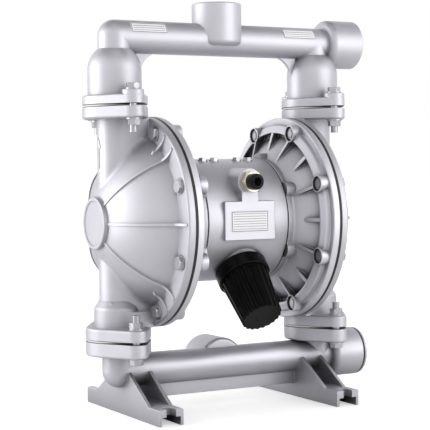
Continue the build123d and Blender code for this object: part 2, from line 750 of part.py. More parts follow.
def foot():
    """Right-hand foot: a channel with open slots and two gusset plates up to the header."""
    rail = block((foot_inner, foot_outer), (-foot_half_length, foot_half_length),
                 (floor, floor + foot_height))
    channel = block((foot_inner + foot_wall, foot_outer - foot_wall),
                    (-foot_half_length - past, foot_half_length + past),
                     (floor - past, floor + foot_height - foot_roof))
    rail = fillet(rail.edges().filter_by(Axis.Y).group_by(Axis.Z)[-1], 1.5) - channel
    middle = (foot_inner + foot_outer) / 2
    for front in (-1, 1):
        end = front * foot_half_length
        centre = front * (foot_half_length - foot_slot_depth + foot_slot_radius)
        rail -= bar_z(foot_slot_radius, floor - past, floor + foot_height + past, x=middle, y=centre)
        low, high = sorted((centre, end + front))
        rail -= block((middle - foot_slot_radius, middle + foot_slot_radius), (low, high),
                      (floor - past, floor + foot_height + past))
    top = floor + tube_to_floor
    rail_top = floor + foot_height
    low = rail_top - foot_plate_overlap
    outline = Polyline((-foot_plate_run, low), (foot_plate_run, low), (foot_plate_run, rail_top),
                       (foot_plate_top, top), (-foot_plate_top, top), (-foot_plate_run, rail_top), close=True)
    face = Plane.YZ * make_face(outline)
    for start in (foot_inner, foot_outer - foot_plate_thickness):
        rail += Pos(start, 0, 0) * extrude(face, foot_plate_thickness)
    return rail


def inlet_manifold():
    """Lower casting: header with its rear port, legs, joint flanges and the two feet."""
    face = inlet_joint - joint_gap / 2
    solid = bar_x(tube_radius, -column_reach, end_boss_start + 10.0, z=inlet_axis)
    solid += Pos(-column_reach, 0, inlet_axis) * Sphere(tube_radius)
    solid += Pos(0, 0, inlet_axis) * Rot(-90, 0, 0) * port(inlet_port_overlap, inlet_port_rounding)
    solid += Pos(0, 0, inlet_axis) * end_boss(inlet_end_reach)
    web = block((-foot_inner - past, foot_inner + past), (-inlet_web_thickness / 2, inlet_web_thickness / 2),
                (inlet_axis - tube_radius - inlet_web_depth, inlet_axis - tube_radius + 4.0))
    solid += web
    right = foot()
    solid = solid + right + mirror(right, Plane.YZ)
    for side in (-1, 1):
        leg = bar_z(tube_radius, inlet_axis, face)
        leg += rounded_flange(face - inlet_flange_thickness, face, "bottom")
        solid += Pos(side * column_reach, 0, 0) * leg
    for side in (-1, 1):
        bore = bar_z(leg_bore, inlet_axis, face + past)
        bore += bar_z(seat_skirt_radius + fit_gap, face - seat_skirt_depth, face + past)
        solid -= Pos(side * column_reach, 0, 0) * bore
        for back in (-1, 1):
            solid -= bar_z(bolt_hole, face - inlet_flange_thickness - past, face + past,
                           x=side * column_reach, y=back * joint_bolt_offset)
    solid -= bar_x(tube_bore, -column_reach, column_reach, z=inlet_axis)
    solid -= Pos(-column_reach, 0, inlet_axis) * Sphere(leg_bore)
    solid -= Pos(0, 0, inlet_axis) * end_hollow(inlet_end_reach)
    solid -= Pos(0, 0, inlet_axis) * Rot(-90, 0, 0) * port_hollow(port_reach)
    return solid


# Valve seats, gaskets and balls
def valve_seat():
    """Seat ring clamped in a pipe joint, with the joint's middle at height zero."""
    bottom = -seat_thickness / 2
    skirt_bottom = -joint_gap / 2 - seat_skirt_depth + fit_gap
    return turned_upright(
        (seat_bore, skirt_bottom, 1.0), (seat_skirt_radius, skirt_bottom, 1.0),
        (seat_skirt_radius, bottom, 0),
        (seat_flange_radius, bottom, 0.5), (seat_flange_radius, seat_top, 0.5),
        (seat_bore + seat_cone_depth, seat_top, 0), (seat_bore, cone_start, 0))


def joint_gasket(bottom):
    ring = bar_z(seat_flange_radius - 0.6, bottom, bottom + joint_gasket_thickness)
    return ring - bar_z(seat_skirt_radius + 4.0, bottom - past, bottom + joint_gasket_thickness + past)


# Fasteners
def hex_bolt(length):
    """Hex bolt standing head up, its bearing face at height zero."""
    return hexagon(bolt_flats, 0.0, bolt_head_height) + bar_z(bolt_radius, -length, 0.0)


def hex_nut(bottom, way=1):
    """Nut on end, chamfered on its upper side, or on its lower side where way is -1."""
    nut = hexagon(bolt_flats, 0.0, nut_height) - bar_z(bolt_radius + fit_gap, -past, nut_height + past)
    if way < 0:
        nut = Pos(0, 0, nut_height) * Rot(180, 0, 0) * nut
    return Pos(0, 0, bottom) * nut


def washer(bottom):
    ring = bar_z(washer_radius, bottom, bottom + washer_thickness)
    return ring - bar_z(bolt_radius + fit_gap, bottom - past, bottom + washer_thickness + past)


def socket_screw(radius, head_radius, head_height, length, socket):
    """Socket cap screw standing head up, its bearing face at height zero."""
    head = bar_z(head_radius, 0.0, head_height)
    head = fillet(head.edges().group_by(Axis.Z)[-1], 0.5)
    hexagon = RegularPolygon(socket / 2, 6, major_radius=False)
    recess = Pos(0, 0, head_height / 2) * extrude(hexagon, head_height)
    return head + bar_z(radius, -length, 0.0) - recess


def along_x(piece):
    """Lays an upright piece along +X."""
    return Rot(0, 90, 0) * piece


def joint_fasteners():
    """Bolts, washers and nuts of the four pipe joints."""
    bolts = []
    washers = []
    nuts = []
    outlet_top = outlet_joint + joint_gap / 2 + outlet_flange_thickness + outlet_pad_height
    outlet_bottom = outlet_joint - joint_gap / 2 - cap_joint_thickness
    inlet_bottom = inlet_joint - joint_gap / 2 - inlet_flange_thickness
    inlet_top = inlet_joint + joint_gap / 2 + cap_joint_thickness
    reach = washer_thickness + nut_height + bolt_end
    for x, y in joint_bolt_places():
        for head, far, way in ((outlet_top, outlet_bottom, 1), (inlet_bottom, inlet_top, -1)):
            stand = Pos(x, y, head) * (Rot(0, 0, 15) if way > 0 else Rot(180, 0, 15))
            length = abs(head - far) + washer_thickness + reach
            bolts.append(stand * Pos(0, 0, washer_thickness) * hex_bolt(length))
            washers.append(stand * washer(0.0))
            turned_over = Pos(x, y, far) * (Rot(180, 0, 40) if way > 0 else Rot(0, 0, 40))
            washers.append(turned_over * washer(0.0))
            nuts.append(turned_over * hex_nut(washer_thickness))
    return bolts, washers, nuts


def cap_fasteners():
    """Bolts and nuts that clamp the right-hand diaphragm between its two caps."""
    head = cap_face - spot_depth
    length = head - boss_face - nut_recess + past
    bolt = Pos(head, cap_bolt_circle, 0) * along_x(hex_bolt(length))
    nut = Pos(0, cap_bolt_circle, 0) * along_x(hex_nut(boss_face + nut_recess, -1))
    return around_x(bolt, cap_bolt_count, half_turn), around_x(nut, cap_bolt_count, half_turn)


def air_cap_screws():
    length = air_cap_floor - screw_head_height - air_cap_start + screw_depth - 2.0
    screw = socket_screw(screw_radius - 0.7, screw_head_radius, screw_head_height, length, screw_socket_flats)
    placed = Pos(air_cap_floor - screw_head_height, neck_screw_circle, 0) * along_x(screw)
    return around_x(placed, neck_boss_count, neck_screw_angle)


# Shaft assembly
def inner_plate():
    """Right-hand plate on the air side of the diaphragm."""
    back = rim_air_side - inner_plate_thickness
    plate = turned(
        (back, 0, 0), (back, plate_hub_radius + 6.0, 2.0), (back + 3.0, plate_hub_radius + 14.0, 4.0),
        (back + 3.0, plate_radius, 3.0), (rim_air_side, plate_radius, 1.0), (rim_air_side, 0, 0))
    return plate - bar_x(stud_radius + running_gap, back - past, rim_air_side + past)


def outer_plate():
    """Right-hand plate on the fluid side, screwed onto the end of the shaft."""
    front = rim_fluid_side + outer_plate_thickness
    plate = turned((rim_fluid_side, 0, 0), (rim_fluid_side, plate_radius, 1.0),
                   (front - 3.0, plate_radius, 3.0),
                   (front, plate_hub_radius + 10.0, 6.0), (front + plate_hub_height, plate_hub_radius, 3.0),
                   (front + plate_hub_height, 0, 0))
    return plate - bar_x(stud_radius + running_gap, rim_fluid_side - past, rim_fluid_side + stud_depth - 4.0)


def diaphragm_shaft():
    shoulder = rim_air_side - inner_plate_thickness
    shaft = bar_x(shaft_radius, -shoulder, shoulder)
    shaft = chamfer(shaft.edges().filter_by(GeomType.CIRCLE), 0.5)
    end = rim_fluid_side + stud_depth - 5.0
    return shaft + bar_x(stud_radius, -end, end)


def diaphragm():
    """Right-hand diaphragm with its rim, one convolution and the flat middle under the plates."""
    inner = convolution_inner
    outer = convolution_outer
    middle = (inner + outer) / 2
    fluid = rim_fluid_side
    air = rim_air_side
    fluid_arc = ThreePointArc((fluid, outer), (fluid - convolution_depth, middle), (fluid, inner))
    air_arc = ThreePointArc((air, inner), (air - convolution_depth, middle), (air, outer))
    hole = stud_radius + running_gap
    middle_edges = Polyline((fluid, inner), (fluid, hole), (air, hole), (air, inner))
    rim_edges = Polyline((air, outer), (air, rim_radius), (fluid, rim_radius), (fluid, outer))
    section = make_face(fluid_arc + middle_edges + air_arc + rim_edges)
    sheet = revolve(section, Axis.X)
    holes = around_x(bar_x(bolt_hole, air - past, fluid + past, y=cap_bolt_circle), cap_bolt_count, half_turn)
    return cut(sheet, holes)


def shaft_bushing():
    outer_end = body_half_length - seal_length
    ring = bar_x(bushing_radius, outer_end - bushing_length, outer_end)
    return ring - bar_x(shaft_radius + running_gap, 0.0, body_half_length + past)


def shaft_seal():
    ring = bar_x(bushing_radius, body_half_length - seal_length, body_half_length)
    return ring - bar_x(shaft_radius + running_gap, 0.0, body_half_length + past)


def pilot_bushing():
    ring = bar_x(pilot_bushing_radius, body_half_length - pilot_bushing_length, body_half_length,
                 y=pilot_offset_y)
    return ring - bar_x(pilot_radius + running_gap, 0.0, body_half_length + past, y=pilot_offset_y)


def pilot_rod():
    rod = bar_x(pilot_radius, -pilot_half_length, pilot_half_length, y=pilot_offset_y)
    rod = chamfer(rod.edges().filter_by(GeomType.CIRCLE), 0.8)
    groove = bar_x(pilot_radius + past, -pilot_groove_half, pilot_groove_half, y=pilot_offset_y)
    waist = bar_x(pilot_waist, -pilot_groove_half - past, pilot_groove_half + past, y=pilot_offset_y)
    return rod - (groove - waist)


# Air valve on the back of the body
def valve_gasket():
    half_length = valve_block_half_length - valve_gasket_inset
    half_height = valve_block_half_height - valve_gasket_inset
    sheet = block((-half_length, half_length), (valve_pad_face, valve_start), (-half_height, half_height))
    for side in (-1, 1):
        sheet -= bar_y(air_passage_radius, valve_pad_face - past, valve_start + past, x=side * air_passage_x)
        for height in (-1, 1):
            sheet -= bar_y(screw_hole, valve_pad_face - past, valve_start + past,
                           x=side * valve_screw_offset_x, z=height * valve_screw_offset_z)
    sheet -= bar_y(air_passage_radius, valve_pad_face - past, valve_start + past, z=exhaust_passage_z)
    return sheet - bar_y(supply_radius, valve_pad_face - past, valve_start + past, z=supply_z)


def valve_block():
    """Housing of the main air valve, bored along X for its spool."""
    half = valve_block_half_length - valve_end_thickness
    body = block((-half, half), (valve_start, valve_end), (-valve_block_half_height, valve_block_half_height))
    body = fillet(body.edges().filter_by(Axis.X), 4.0)
    body -= bar_x(spool_radius + running_gap, -half - past, half + past, y=valve_middle)
    for side in (-1, 1):
        body -= bar_y(air_passage_radius, valve_start - past, valve_middle, x=side * air_passage_x)
        for height in (-1, 1):
            body -= bar_y(screw_hole, valve_start - past, valve_end + past,
                          x=side * valve_screw_offset_x, z=height * valve_screw_offset_z)
    for y, z in end_screw_places():
        for side in (-1, 1):
            low, high = sorted((side * (half - small_screw_depth), side * (half + past)))
            body -= bar_x(small_screw_radius + fit_gap, low, high, y=y, z=z)
    body -= bar_y(supply_radius, valve_start - past, valve_middle, z=supply_z)
    body -= bar_y(air_passage_radius, valve_start - past, valve_middle, z=exhaust_passage_z)
    return body - bar_z(air_passage_radius - 1.0, exhaust_passage_z, 0.0, y=valve_middle)


def end_screw_places():
    return [(valve_middle + front * end_screw_offset_y, high * end_screw_offset_z)
            for front in (-1, 1) for high in (-1, 1)]


def end_cap_screws():
    """Socket screws of the right-hand end cover."""
    length = valve_end_thickness + small_screw_depth - 1.0
    screw = along_x(socket_screw(small_screw_radius, small_screw_head_radius, small_screw_head_height, length,
                                 small_screw_socket))
    return [Pos(valve_block_half_length, y, z) * screw for y, z in end_screw_places()]


def valve_block_screws():
    """Four long socket screws that hold the valve block on the back of the body."""
    length = valve_end - valve_pad_face + screw_depth - 1.0
    screw = Rot(-90, 0, 0) * socket_screw(screw_radius - 0.7, screw_head_radius, screw_head_height, length,
                                          screw_socket_flats)
    return [Pos(side * valve_screw_offset_x, valve_end, high * valve_screw_offset_z) * screw
            for side in (-1, 1) for high in (-1, 1)]


def valve_end_cap():
    """Right-hand end cover of the air valve."""
    outer = valve_block_half_length
    plate = block((outer - valve_end_thickness, outer), (valve_start, valve_end),
                  (-valve_block_half_height, valve_block_half_height))
    plate = fillet(plate.edges().filter_by(Axis.X), 4.0)
    plate = fillet(plate.faces().sort_by(Axis.X)[-1].edges(), 1.0)
    for y, z in end_screw_places():
        plate -= bar_x(small_screw_radius + fit_gap, outer - valve_end_thickness - past, outer + past,
                       y=y, z=z)
    return plate


def valve_spool():
    """Spool with three lands and two waists, which steers air to one diaphragm or the other."""
    half = spool_half_length - spool_travel - spool_end_gap
    rod = bar_x(spool_waist, -half, half, y=valve_middle)
    ends = half - spool_land_length / 2
    for place in (-ends, 0.0, ends):
        rod += bar_x(spool_radius, place - spool_land_length / 2, place + spool_land_length / 2,
                     y=valve_middle)
    return rod


# Silencer
def silencer_collar():
    """Moulded collar with the threaded nipple, built along -Z from the shaft axis."""
    top = -silencer_seat
    bottom = canister_shoulder
    cup = turned_upright((0, top, 0), (collar_radius, top, collar_rounding), (collar_radius, bottom, 1.2),
                         (silencer_lip, bottom, 0), (silencer_lip, canister_top, 0), (0, canister_top, 0))
    nipple = bar_z(silencer_nipple_radius, top, top + silencer_nipple_length)
    bore = bar_z(silencer_nipple_radius - 3.0, top - 5.0, top + silencer_nipple_length + past)
    return tilted(cup + nipple - bore)


def silencer_canister():
    """Fluted cup of the silencer with its flat end disc."""
    top = canister_top
    shoulder = canister_shoulder
    bottom = canister_bottom
    spigot = silencer_lip - 0.2
    outside = turned_upright(
        (0, top - 0.2, 0), (spigot, top - 0.2, 0), (spigot, shoulder - 0.3, 0),
        (canister_radius, shoulder - 0.3, 0), (canister_end_radius, bottom, 1.0), (0, bottom, 0))
    inside = turned_upright(
        (0, top + past, 0), (silencer_lip - canister_wall, top + past, 0),
        (silencer_lip - canister_wall, shoulder - 4.0, 0),
        (canister_end_radius - canister_wall - 2.0, bottom + 4.0, 1.0), (0, bottom + 4.0, 0))
    cup = outside - inside
    slope = (canister_radius - canister_end_radius) / canister_length
    lean = degrees(atan(slope))
    for i in range(flute_count):
        groove = Pos(canister_radius + flute_stand, 0, shoulder - 0.5) * Rot(0, lean, 0) * bar_z(
            flute_radius, -canister_length - 4.0, -1.5)
        cup -= Rot(0, 0, 360.0 * i / flute_count) * groove
    return tilted(cup)


def silencer_element():
    """Porous tube inside the canister that breaks up the exhaust."""
    top = canister_top - 0.6
    bottom = canister_bottom + 4.3
    radius = silencer_nipple_radius + 6.0
    tube = bar_z(radius, bottom, top) - bar_z(radius - 5.0, bottom - past, top + past)
    return tilted(tube)


# Air inlet fitting
def fitting_body():
    """Nickel-plated body: thread, hexagon and the socket for the air tube, pointing forwards."""
    stand = Pos(0, -pad_face, air_port_height) * Rot(90, 0, 0)
    shape = hexagon(fitting_hex, 0.0, fitting_hex_height) + bar_z(air_thread_radius - fit_gap, -12.0, 0.0)
    sleeve_room = bar_z(fitting_sleeve_radius - 1.6, fitting_hex_height - 7.0, fitting_hex_height + past)
    socket = bar_z(air_tube_radius, -6.0, fitting_hex_height)
    bore = bar_z(air_tube_radius - 2.0, -13.0, 0.0)
    return stand * (shape - sleeve_room - socket - bore)


def fitting_sleeve():
    """Black moulded sleeve that holds the release ring."""
    stand = Pos(0, -pad_face, air_port_height) * Rot(90, 0, 0)
    top = fitting_hex_height + fitting_sleeve_height
    flange = bar_z(fitting_sleeve_radius, fitting_hex_height, top)
    flange = fillet(flange.edges().group_by(Axis.Z)[-1], 1.0)
    spigot = bar_z(fitting_sleeve_radius - 1.6 - fit_gap, fitting_hex_height - 6.9, fitting_hex_height)
    bore = bar_z(release_radius + release_gap, fitting_hex_height - 8.0, top + past)
    return stand * (flange + spigot - bore)


def release_collar():
    """Ring that is pressed in to let the air tube go."""
    stand = Pos(0, -pad_face, air_port_height) * Rot(90, 0, 0)
    top = fitting_hex_height + fitting_sleeve_height + release_stand - 1.0
    bottom = fitting_hex_height - 7.0 + release_travel + seat_gap
    ring = bar_z(release_radius, bottom, top)
    ring = fillet(ring.edges().group_by(Axis.Z)[-1], 0.6)
    return stand * (ring - bar_z(air_tube_radius, bottom - past, top + past))


# Plugs and labels
def end_plug(reach, flange, gasket):
    """Threaded plug along X in a header's end boss, with a hexagon socket in its face."""
    start = reach - port_thread_length + plug_thread_start
    end = reach - plug_recess
    body = bar_x(port_thread_radius - fit_gap, start, end)
    if flange:
        end = reach + gasket + flange
        body = bar_x(port_thread_radius - fit_gap, start, reach + gasket)
        body += turned((reach + gasket, 0, 0), (reach + gasket, port_radius - 0.4, 0.8),
                       (end, port_radius - 0.4, 2.5), (end, 0, 0))
    hexagon_hole = RegularPolygon(plug_socket_flats / 2, 6, major_radius=False)
    recess = Rot(0, 90, 0) * extrude(hexagon_hole, port_thread_length)
    return body - Pos(end - plug_socket_depth, 0, 0) * recess


def plug_gasket_ring():
    ring = bar_x(port_radius - 1.6, inlet_end_reach, inlet_end_reach + plug_gasket)
    return ring - bar_x(port_thread_radius + fit_gap, inlet_end_reach - past,
                        inlet_end_reach + plug_gasket + past)


def name_plate():
    """Thin plate on the front pad, left blank."""
    plate = block((-29.0, 28.0), (-pad_face - 0.4, -pad_face), (pad_centre - 15.0, pad_centre + 13.0))
    return fillet(plate.edges().filter_by(Axis.Y), 1.5)


def tube_labels():
    """Two blank stickers wrapped round the front of the upper header."""
    sheet = bar_x(tube_radius + label_thickness, -column_reach, column_reach, z=outlet_axis)
    sheet -= bar_x(tube_radius, -column_reach - past, column_reach + past, z=outlet_axis)
    front = (-tube_radius - past, 0.0)
    heights = (outlet_axis + label_low, outlet_axis + label_high)
    return [sheet & block(ends, front, heights) for ends in (left_label_ends, right_label_ends)]


def body_gasket():
    """Right-hand sheet gasket between the body and the air cap, with its holes."""
    sheet = bar_x(body_radius - 0.4, body_half_length, air_cap_start)
    for radius, place in ((shaft_bore, 0.0), (pilot_radius + 2.0, pilot_offset_y),
                          (air_passage_radius, air_passage_y)):
        sheet -= bar_x(radius, body_half_length - 1.0, air_cap_start + 1.0, y=place)
    screws = bar_x(screw_hole, body_half_length - 1.0, air_cap_start + 1.0, y=neck_screw_circle)
    return cut(sheet, around_x(screws, neck_boss_count, neck_screw_angle))


# Every piece is built once and written on its own
nodes = {}


def add_mirrored(name, piece):
    """Writes a right-hand piece and its left-hand mirror image."""
    nodes[name + "_right"] = piece
    nodes[name + "_left"] = mirror(piece, Plane.YZ)


def group(pieces):
    return Compound(children=[solid for piece in pieces for solid in piece.solids()])


def mirrored_pieces(pieces):
    return [mirror(piece, Plane.YZ) for piece in pieces]


nodes["inlet_manifold"] = inlet_manifold()
nodes["outlet_manifold"] = outlet_manifold()
add_mirrored("fluid_cap", fluid_cap())
add_mirrored("air_cap", air_cap())
nodes["center_body"] = center_body()
nodes["body_gaskets"] = group([body_gasket(), mirror(body_gasket(), Plane.YZ)])
add_mirrored("diaphragm", diaphragm())
cap_bolts, cap_nuts = cap_fasteners()
nodes["cap_bolts_right"] = group(cap_bolts)
nodes["cap_bolts_left"] = group(mirrored_pieces(cap_bolts))
nodes["cap_nuts_right"] = group(cap_nuts)
nodes["cap_nuts_left"] = group(mirrored_pieces(cap_nuts))
screws = air_cap_screws()
nodes["air_cap_screws"] = group(screws + mirrored_pieces(screws))
joint_bolts, joint_washers, joint_nuts = joint_fasteners()
nodes["joint_bolts"] = group(joint_bolts)
nodes["joint_washers"] = group(joint_washers)
nodes["joint_nuts"] = group(joint_nuts)
gaskets = []
for level, joint in (("inlet", inlet_joint), ("outlet", outlet_joint)):
    for name, side in sides.items():
        place = Pos(side * column_reach, 0, joint)
        nodes[f"valve_seat_{level}_{name}"] = place * valve_seat()
        nodes[f"check_ball_{level}_{name}"] = place * Pos(0, 0, ball_rest) * Sphere(ball_radius)
        gaskets += [place * joint_gasket(seat_top), place * joint_gasket(-joint_gap / 2)]
nodes["joint_gaskets"] = group(gaskets)
nodes["diaphragm_shaft"] = diaphragm_shaft()
add_mirrored("inner_plate", inner_plate())
add_mirrored("outer_plate", outer_plate())
nodes["shaft_bushings"] = group([shaft_bushing(), mirror(shaft_bushing(), Plane.YZ)])
nodes["shaft_seals"] = group([shaft_seal(), mirror(shaft_seal(), Plane.YZ)])
nodes["pilot_bushings"] = group([pilot_bushing(), mirror(pilot_bushing(), Plane.YZ)])
nodes["pilot_rod"] = pilot_rod()
nodes["valve_gasket"] = valve_gasket()
nodes["valve_block"] = valve_block()
nodes["valve_end_caps"] = group([valve_end_cap(), mirror(valve_end_cap(), Plane.YZ)])
nodes["valve_spool"] = valve_spool()
nodes["valve_block_screws"] = group(valve_block_screws())
nodes["end_cap_screws"] = group(end_cap_screws() + mirrored_pieces(end_cap_screws()))
nodes["tube_labels"] = group(tube_labels())
nodes["passage_plugs"] = group(passage_plugs())
nodes["silencer_collar"] = silencer_collar()
nodes["silencer_canister"] = silencer_canister()
nodes["silencer_element"] = silencer_element()
nodes["fitting_body"] = fitting_body()
nodes["fitting_sleeve"] = fitting_sleeve()
nodes["release_collar"] = release_collar()
nodes["outlet_end_plug"] = Pos(0, 0, outlet_axis) * end_plug(outlet_end_reach, 0.0, 0.0)
nodes["inlet_end_plug"] = Pos(0, 0, inlet_axis) * end_plug(inlet_end_reach, plug_flange, plug_gasket)
nodes["inlet_plug_gasket"] = Pos(0, 0, inlet_axis) * plug_gasket_ring()
nodes["name_plate"] = name_plate()

os.makedirs("parts", exist_ok=True)
for name, piece in nodes.items():
    export_step(Pos(0, 0, shaft_height) * piece, f"parts/{name}.step")
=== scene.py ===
import math

import bmesh
import bpy
from mathutils import Matrix, Vector


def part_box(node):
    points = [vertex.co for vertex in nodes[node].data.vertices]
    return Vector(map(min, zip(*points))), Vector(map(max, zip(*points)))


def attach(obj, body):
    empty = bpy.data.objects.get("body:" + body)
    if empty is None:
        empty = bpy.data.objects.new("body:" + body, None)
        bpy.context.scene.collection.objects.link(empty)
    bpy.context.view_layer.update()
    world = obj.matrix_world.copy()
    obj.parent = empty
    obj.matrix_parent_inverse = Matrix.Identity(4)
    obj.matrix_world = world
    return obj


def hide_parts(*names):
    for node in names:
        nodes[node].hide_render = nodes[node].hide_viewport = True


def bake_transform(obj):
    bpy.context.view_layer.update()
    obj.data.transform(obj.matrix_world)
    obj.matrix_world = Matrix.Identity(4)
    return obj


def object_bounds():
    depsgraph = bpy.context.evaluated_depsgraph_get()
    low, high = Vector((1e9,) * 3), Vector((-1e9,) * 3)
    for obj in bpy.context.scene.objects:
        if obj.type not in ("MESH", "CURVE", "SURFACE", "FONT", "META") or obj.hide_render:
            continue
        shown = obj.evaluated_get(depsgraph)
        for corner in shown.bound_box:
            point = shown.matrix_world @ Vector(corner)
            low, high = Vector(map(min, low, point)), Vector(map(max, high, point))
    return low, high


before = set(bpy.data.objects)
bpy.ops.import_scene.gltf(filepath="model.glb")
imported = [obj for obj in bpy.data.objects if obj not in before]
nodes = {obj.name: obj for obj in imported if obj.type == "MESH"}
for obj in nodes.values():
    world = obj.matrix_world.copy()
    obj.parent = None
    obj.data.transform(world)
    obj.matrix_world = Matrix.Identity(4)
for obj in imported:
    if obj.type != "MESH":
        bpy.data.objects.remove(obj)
cad_low, cad_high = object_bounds()


# Lower header and feet. One aluminium casting with a header tube, two legs and two slotted feet.
# It is shot-blasted and left bare, so it is a soft silver grey with a fine grain. Its recesses carry
# painted shade, and its edges are painted a little lighter, as a highlight and as wear from handling.
class Wire:
    """A shader socket on which maths is written as plain Python."""

    def __init__(self, finish, socket):
        self.finish = finish
        self.socket = socket

    def maths(self, operation, first, second):
        return self.finish.add("ShaderNodeMath", {"operation": operation}, {0: first, 1: second})

    def __add__(self, other):
        return self.maths("ADD", self, other)

    def __radd__(self, other):
        return self.maths("ADD", other, self)

    def __sub__(self, other):
        return self.maths("SUBTRACT", self, other)

    def __rsub__(self, other):
        return self.maths("SUBTRACT", other, self)

    def __mul__(self, other):
        return self.maths("MULTIPLY", self, other)

    def __rmul__(self, other):
        return self.maths("MULTIPLY", other, self)

    def __truediv__(self, other):
        return self.maths("DIVIDE", self, other)

    def __rtruediv__(self, other):
        return self.maths("DIVIDE", other, self)

    def __mod__(self, other):
        return self.maths("FLOORED_MODULO", self, other)

    def __abs__(self):
        return self.maths("ABSOLUTE", self, 0.0)

    def __lt__(self, other):
        return self.maths("LESS_THAN", self, other)

    def __gt__(self, other):
        return self.maths("GREATER_THAN", self, other)

    def at_most(self, limit):
        return self.maths("MINIMUM", self, limit)


class Finish:
    """A material built from nodes around one Principled shader."""

    def __init__(self, name):
        self.material = bpy.data.materials.new(name)
        self.material.use_nodes = True
        self.tree = self.material.node_tree
        self.shader = self.tree.nodes["Principled BSDF"]

    def feed(self, socket, value):
        if isinstance(value, Wire):
            self.tree.links.new(value.socket, socket)
        else:
            socket.default_value = value

    def add(self, kind, settings, inputs, output=0):
        """Any node: its settings go in first, then its sockets, and one of its outputs comes back."""
        node = self.tree.nodes.new(kind)
        for name, value in settings.items():
            setattr(node, name, value)
        for name, value in inputs.items():
            self.feed(node.inputs[name], value)
        return Wire(self, node.outputs[output])

    def give(self, **sockets):
        for name, value in sockets.items():
            self.feed(self.shader.inputs[name.replace("_", " ")], value)

    def noise(self, scale, detail=2.0, roughness=0.5, stretch=(1.0, 1.0, 1.0)):
        """Noise fixed to the piece, between 0 and 1, with its scale in features per metre."""
        place = self.add("ShaderNodeTexCoord", {}, {}, "Object")
        placed = self.add("ShaderNodeMapping", {}, {"Vector": place, "Scale": stretch})
        sockets = {"Vector": placed, "Scale": scale, "Detail": detail, "Roughness": roughness}
        return self.add("ShaderNodeTexNoise", {}, sockets, 0)

    def mix(self, factor, first, second):
        """Colour between two colours."""
        return self.add("ShaderNodeMix", {"data_type": "RGBA"}, {0: factor, 6: first, 7: second}, 2)

    def bump(self, strength, depth, height, normal):
        """Normal shaken by a height, on top of another normal."""
        sockets = {"Strength": strength, "Distance": depth, "Height": height, "Normal": normal}
        return self.add("ShaderNodeBump", {}, sockets)

    def softened(self, radius):
        """Surface normal with the sharp edges eased over a radius in metres."""
        return self.add("ShaderNodeBevel", {"samples": 4}, {"Radius": radius})

    def edges(self, eased, strength):
        """How much the eased normal leans off the true one: 0 on flats, up to 1 on edges."""
        plain = self.add("ShaderNodeNewGeometry", {}, {}, "Normal")
        settings = {"operation": "DOT_PRODUCT"}
        same = self.add("ShaderNodeVectorMath", settings, {0: eased, 1: plain}, "Value")
        return ((1.0 - same) * strength).at_most(1.0)


casting_metal = 0.78
brightest_edge = 0.95
recess_reach = 0.05


def grey(level, violet=0.0):
    """A near-neutral linear colour, which leans to violet above zero and to straw below."""
    return (level, level * (1.0 - 0.2 * violet), level * (1.0 + violet), 1.0)


def cast_aluminium(name, level, roughness, painted_recess_shade=0.6, edge_lightening=5.0):
    """Shot-blasted casting: cloudy grey, a fine matt grain, painted shade in recesses, and edges painted
    lighter as highlight and wear.
    """
    finish = Finish(name)
    clouds = finish.noise(11.0, 3.0)
    grain = finish.noise(1300.0, 2.0, 0.6)
    patches = finish.noise(70.0, 4.0, 0.6)
    eased = finish.softened(0.0009)
    edge_wear_and_highlight = finish.edges(eased, edge_lightening)
    open_sky = finish.add("ShaderNodeAmbientOcclusion", {"samples": 6}, {"Distance": recess_reach}, "AO")
    cloudy = clouds * 0.6 + patches * 0.4
    body = finish.mix(cloudy, grey(level * 0.90, 0.075), grey(level * 1.08, 0.055))
    body = finish.mix(grain * 0.2, body, grey(level * 0.6, 0.07))
    # Painted shade: the colour darkens towards a deep grey where ambient occlusion finds the surface
    # hemmed in.
    body = finish.mix((1.0 - open_sky) * painted_recess_shade, body, grey(level * 0.12, 0.1))
    # Edges painted lighter: partly a painted highlight along them, partly wear.
    body = finish.mix(edge_wear_and_highlight, body, grey(min(level * 1.35, brightest_edge), 0.04))
    lumps = finish.bump(0.18, 0.0006, patches, eased)
    pores = finish.bump(0.22, 0.0002, grain, lumps)
    rough = roughness - 0.05 + patches * 0.12
    finish.give(Base_Color=body, Metallic=casting_metal, Roughness=rough, Normal=pores)
    return finish.material


def paint(material, *names):
    """Puts a finish on nodes of the frame."""
    for name in names:
        slots = nodes[name].data.materials
        for i in range(len(slots)):
            slots[i] = material
        if not slots:
            slots.append(material)


lower_casting = cast_aluminium("blasted_casting_lower", level=0.62, roughness=0.44, painted_recess_shade=0.85)
paint(lower_casting, "inlet_manifold")


# Upper header. The same casting alloy and finish as the lower one, with ball chambers at both ends,
# an open port on top and a plug in its end boss. It is bolted to the caps at two joints.
upper_casting = cast_aluminium("blasted_casting_upper", level=0.62, roughness=0.46)
paint(upper_casting, "outlet_manifold", "outlet_end_plug", "inlet_end_plug")


# Fluid caps and air caps. Four larger castings of the same alloy, bolted together at their rims.
# The pockets between the air caps' ribs get the strongest painted shade, and the air caps a lighter grey
# that offsets it.
dome_casting = cast_aluminium("blasted_casting_domes", level=0.60, roughness=0.46)
dish_casting = cast_aluminium("blasted_casting_dishes", level=0.75, roughness=0.46, painted_recess_shade=1.7)
paint(dome_casting, "fluid_cap_left", "fluid_cap_right")
paint(dish_casting, "air_cap_left", "air_cap_right")


# Centre body. A drum cast in aluminium, then skimmed and blasted finer than the rest, so that it
# looks smoother. The valve block on its back and the covers have the same finish.
drum_casting = cast_aluminium("fine_blasted_drum", level=0.63, roughness=0.42, edge_lightening=4.0)
paint(drum_casting, "center_body", "valve_block", "valve_end_caps")


